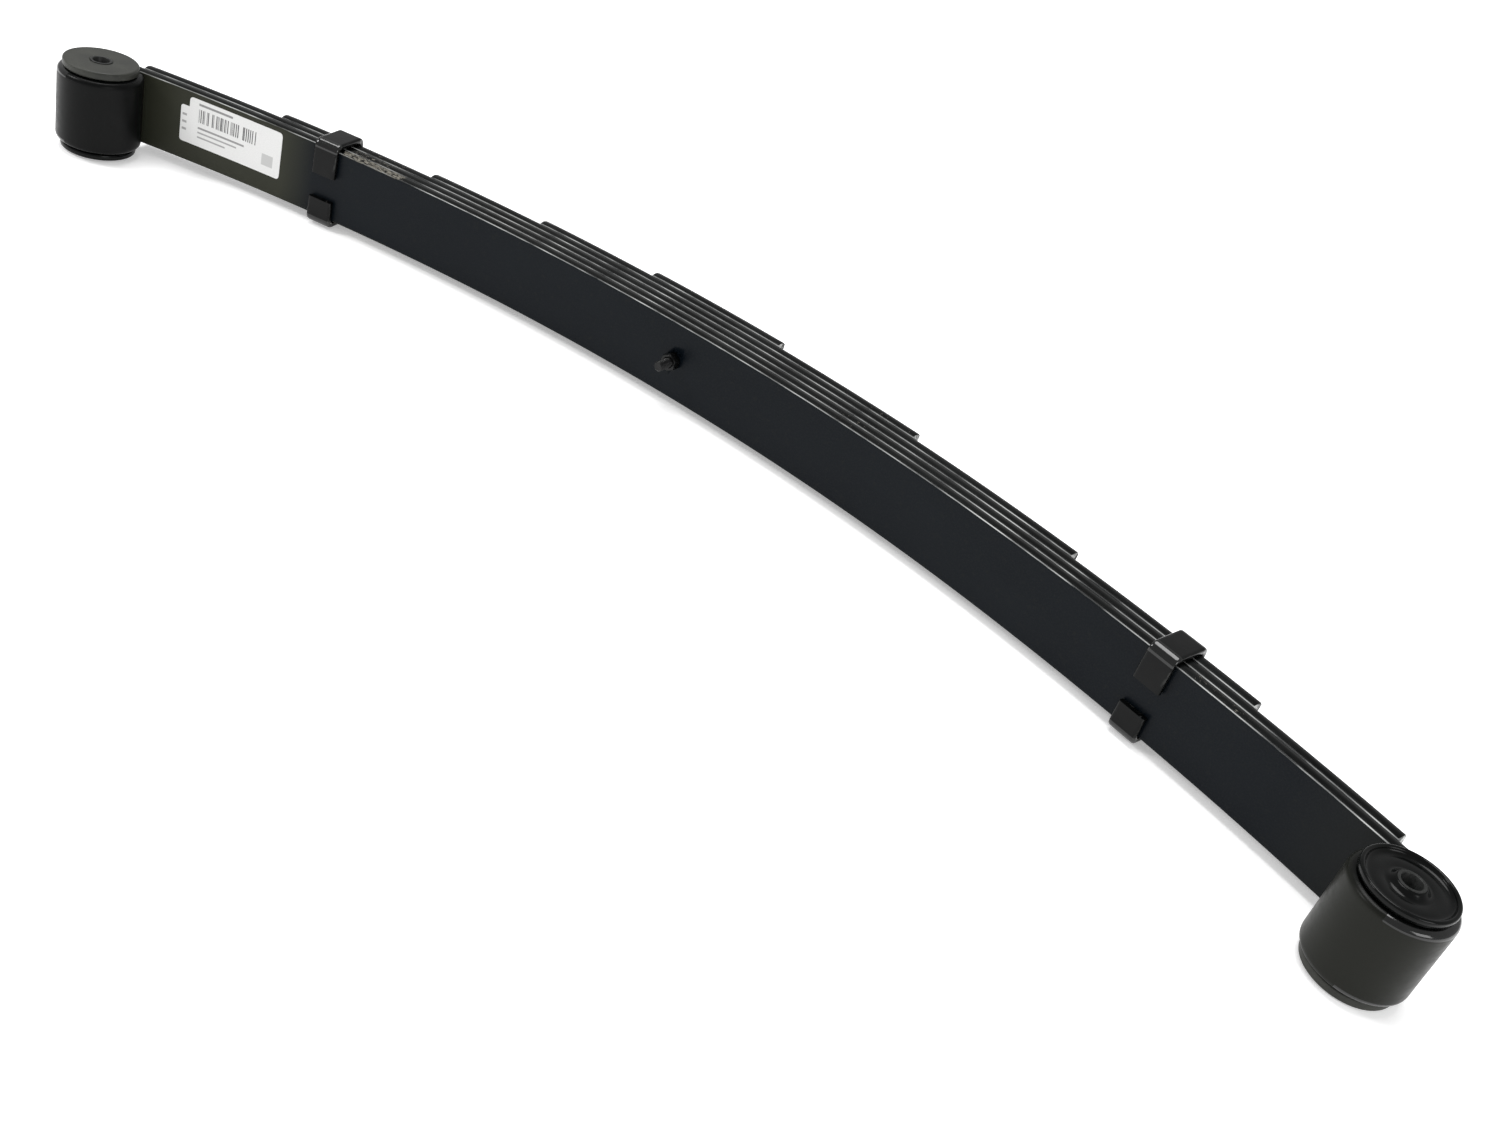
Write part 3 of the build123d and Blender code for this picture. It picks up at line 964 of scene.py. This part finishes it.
def label_finish(name, stripes, rows):
    """White coated paper with a few grey rules and, if given, a block of upright stripes."""
    finish, nodes, links, shader = new_finish(name)
    lie = nodes.new("ShaderNodeUVMap")
    lie.uv_map = "along"
    apart = nodes.new("ShaderNodeSeparateXYZ")
    links.new(lie.outputs["UV"], apart.inputs["Vector"])
    along, across = apart.outputs["X"], apart.outputs["Y"]
    ink = None
    if stripes:
        low, high, bottom, top, count = stripes
        beat = noise(nodes, links, lie.outputs["UV"], count, 0.0, 0.0, (1, 0, 0))
        bars = ramp(nodes, links, beat, 0.50, 0.505)
        block = between(nodes, links, along, low, high, 0.002)
        block = sum_of(nodes, links, "MULTIPLY", block,
                       between(nodes, links, across, bottom, top, 0.004))
        ink = sum_of(nodes, links, "MULTIPLY", bars, block)
    for low, high, middle, half, weight in rows:
        rule = between(nodes, links, across, middle - half, middle + half, 0.004)
        rule = sum_of(nodes, links, "MULTIPLY", rule,
                      between(nodes, links, along, low, high, 0.002))
        rule = sum_of(nodes, links, "MULTIPLY", rule, weight)
        ink = rule if ink is None else sum_of(nodes, links, "MAXIMUM", ink, rule)
    fibre = noise(nodes, links, lie.outputs["UV"], 60.0, 5.0, 0.6)
    paper = blend_colour(nodes, links, ramp(nodes, links, fibre, 0.3, 0.7),
                         (0.58, 0.58, 0.575), (0.65, 0.65, 0.642))
    ink = sum_of(nodes, links, "MULTIPLY", ink, ramp(nodes, links, fibre, 0.3, 0.6, 0.8, 1.0))
    links.new(blend_colour(nodes, links, ink, paper, (0.03, 0.03, 0.032)),
              shader.inputs["Base Color"])
    links.new(ramp(nodes, links, fibre, 0.3, 0.7, 0.40, 0.55), shader.inputs["Roughness"])
    shader.inputs["Specular IOR Level"].default_value = 0.4
    links.new(raise_by(nodes, links, fibre, 0.00008, 0.3), shader.inputs["Normal"])
    return finish


large_label = stuck_label("shipping_label_sheet", "shipping_label", -483.0, 89.0, 41.0,
                          0.3, 3.0, 12)
large_label.data.materials.append(label_finish(
    "large_label_print", (0.10, 0.72, 0.52, 0.80, 90.0),
    ((0.10, 0.46, 0.90, 0.022, 0.75), (0.10, 0.60, 0.40, 0.020, 0.7),
     (0.10, 0.52, 0.30, 0.016, 0.6), (0.10, 0.40, 0.20, 0.016, 0.6),
     (0.80, 0.92, 0.30, 0.12, 0.35))))
bend_with_pack(large_label)
small_label = stuck_label("side_label_sheet", "side_label", -491.0, 58.0, 32.0, 0.15, 2.5, 8)
small_label.data.materials.append(label_finish(
    "small_label_print", None,
    ((0.03, 0.10, 0.75, 0.03, 0.6), (0.03, 0.10, 0.55, 0.03, 0.6),
     (0.03, 0.10, 0.35, 0.03, 0.6))))
bend_with_pack(small_label)

# Floor and light. A plain pale floor under the spring, a white room light, a broad light
# from above, and two soft lamps, one high beyond each limb's end on the hollow side.
floor_mesh = bpy.data.meshes.new("studio_floor")
floor_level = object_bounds()[0][2] - 0.0002
floor_mesh.from_pydata([(-6, -6, floor_level), (6, -6, floor_level), (6, 6, floor_level),
                        (-6, 6, floor_level)], [], [(0, 1, 2, 3)])
studio_floor = bpy.data.objects.new("studio_floor", floor_mesh)
bpy.context.scene.collection.objects.link(studio_floor)
floor_paint, _, _, shader = new_finish("floor_white")
shader.inputs["Base Color"].default_value = (0.90, 0.90, 0.90, 1.0)
shader.inputs["Roughness"].default_value = 0.75
shader.inputs["Specular IOR Level"].default_value = 0.2
shader.inputs["Emission Color"].default_value = (1.0, 1.0, 1.0, 1.0)
shader.inputs["Emission Strength"].default_value = 0.34
floor_mesh.materials.append(floor_paint)

room = bpy.data.worlds.new("studio_room")
room.use_nodes = True
room.node_tree.nodes["Background"].inputs["Color"].default_value = (1.0, 1.0, 1.0, 1.0)
room.node_tree.nodes["Background"].inputs["Strength"].default_value = 0.55
bpy.context.scene.world = room


def soft_lamp(name, place, aim, size, power):
    """A square lamp at a place, turned to an aim."""
    made = bpy.data.lights.new(name, "AREA")
    made.shape = "SQUARE"
    made.size = size
    made.energy = power
    lamp = bpy.data.objects.new(name, made)
    lamp.location = place
    lamp.rotation_euler = (Vector(aim) - Vector(place)).to_track_quat("-Z", "Y").to_euler()
    bpy.context.scene.collection.objects.link(lamp)


soft_lamp("lamp_left", (-1.5, -1.1, 1.3), (-0.1, -0.15, 0.0), 0.5, 16)
soft_lamp("lamp_right", (2.1, -0.9, 0.9), (0.5, -0.2, 0.0), 0.9, 12)
sky_light = bpy.data.lights.new("sky_light", "SUN")
sky_light.energy = 2.6
sky_light.angle = radians(38)
sky_lamp = bpy.data.objects.new("sky_light", sky_light)
sky_lamp.rotation_euler = (radians(-8), radians(-14), 0)
bpy.context.scene.collection.objects.link(sky_lamp)
bpy.context.scene.view_settings.view_transform = "Standard"

# Camera. It stands in front of the hollow side, above the long limb's half, looking down
# along the pack with the spring running across the view.
azimuth = radians(23.5535)
elevation = radians(32.8898)
roll = radians(18.9028)
camera_place = (0.52382, -0.99021, 0.53160)
back = Vector((sin(azimuth) * cos(elevation), -cos(azimuth) * cos(elevation), sin(elevation)))
right = Vector((0, 0, 1)).cross(back).normalized()
up_way = back.cross(right)
tilted_right = cos(roll) * right + sin(roll) * up_way
tilted_up = cos(roll) * up_way - sin(roll) * right
view = bpy.data.cameras.new("studio_camera")
view.lens = 36.079
view.sensor_width = 36.0
view.clip_start = 0.01
view.shift_x = -0.0003
view.shift_y = -0.0004
camera = bpy.data.objects.new("studio_camera", view)
turn = Matrix((tilted_right, tilted_up, back)).transposed().to_4x4()
camera.matrix_world = Matrix.Translation(camera_place) @ turn
bpy.context.scene.collection.objects.link(camera)
bpy.context.scene.camera = camera
